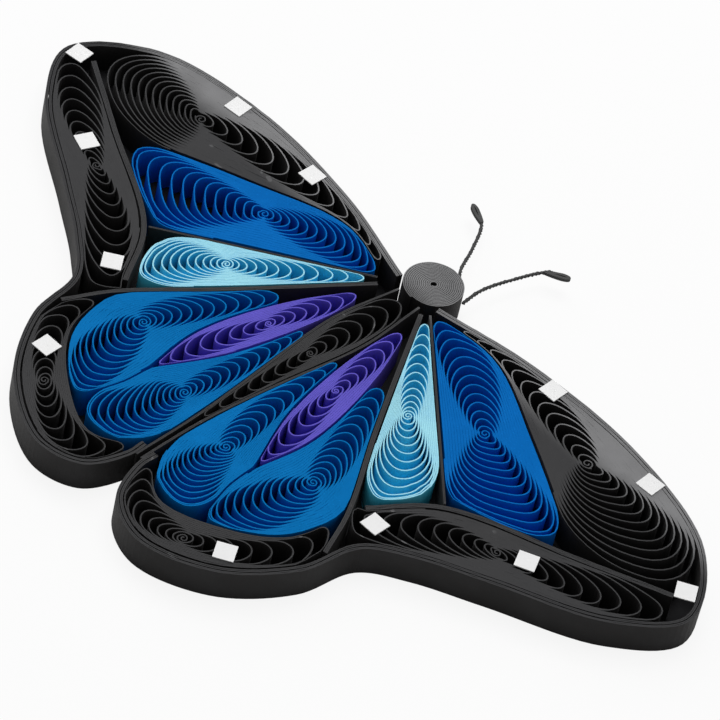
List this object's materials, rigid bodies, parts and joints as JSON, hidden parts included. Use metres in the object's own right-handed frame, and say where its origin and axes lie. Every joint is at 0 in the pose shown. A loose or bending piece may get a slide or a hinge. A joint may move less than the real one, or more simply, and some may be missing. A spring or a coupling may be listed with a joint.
{
  "type": "quilled paper butterfly",
  "caption": "Flat quilled butterfly: coloured paper strips wound into teardrops and crescents, set on edge inside a black paper border, with a rolled head and thin antennae.",
  "frame": {"origin": "middle of the outline's box, on the flat back face", "axes": "+X to the right wing seen from above, +Y towards the head, +Z out of the paper's top edges"},
  "size_m": [0.1344, 0.088, 0.0052],
  "materials": {
    "black_paper": "matte",
    "dark_blue_paper": "matte",
    "mid_blue_paper": "matte",
    "light_blue_paper": "matte",
    "purple_paper": "matte",
    "twisted_paper": "matte",
    "white_paper": "matte"
  },
  "bodies": {
    "root": {"body_coil": "black_paper", "head_coil": "black_paper", "left_antenna": "twisted_paper", "left_blue_divider_strip": "black_paper", "left_body_side_strip": "black_paper", "left_edge_spot": "white_paper", "left_forewing_band_strip": "black_paper", "left_forewing_dark_blue_coil": "dark_blue_paper", "left_forewing_edge_coil": "black_paper", "left_forewing_front_coil": "black_paper", "left_forewing_light_blue_coil": "light_blue_paper", "left_hind_spot": "white_paper", "left_hindwing_edge_coil": "black_paper", "left_hindwing_inner_blue_coil": "mid_blue_paper", "left_hindwing_outer_blue_coil": "mid_blue_paper", "left_hindwing_purple_coil": "purple_paper", "left_inner_border_strip": "black_paper", "left_inner_lead_spot": "white_paper", "left_notch_spot": "white_paper", "left_outer_border_strip": "black_paper", "left_outer_lead_spot": "white_paper", "left_tip_spot": "white_paper", "left_waist_strip": "black_paper", "right_antenna": "twisted_paper", "right_blue_divider_strip": "black_paper", "right_body_side_strip": "black_paper", "right_edge_spot": "white_paper", "right_forewing_band_strip": "black_paper", "right_forewing_dark_blue_coil": "dark_blue_paper", "right_forewing_edge_coil": "black_paper", "right_forewing_front_coil": "black_paper", "right_forewing_light_blue_coil": "light_blue_paper", "right_hind_spot": "white_paper", "right_hindwing_edge_coil": "black_paper", "right_hindwing_inner_blue_coil": "mid_blue_paper", "right_hindwing_outer_blue_coil": "mid_blue_paper", "right_hindwing_purple_coil": "purple_paper", "right_inner_border_strip": "black_paper", "right_inner_lead_spot": "white_paper", "right_notch_spot": "white_paper", "right_outer_border_strip": "black_paper", "right_outer_lead_spot": "white_paper", "right_tip_spot": "white_paper", "right_waist_strip": "black_paper"}
  },
  "joints": []
}
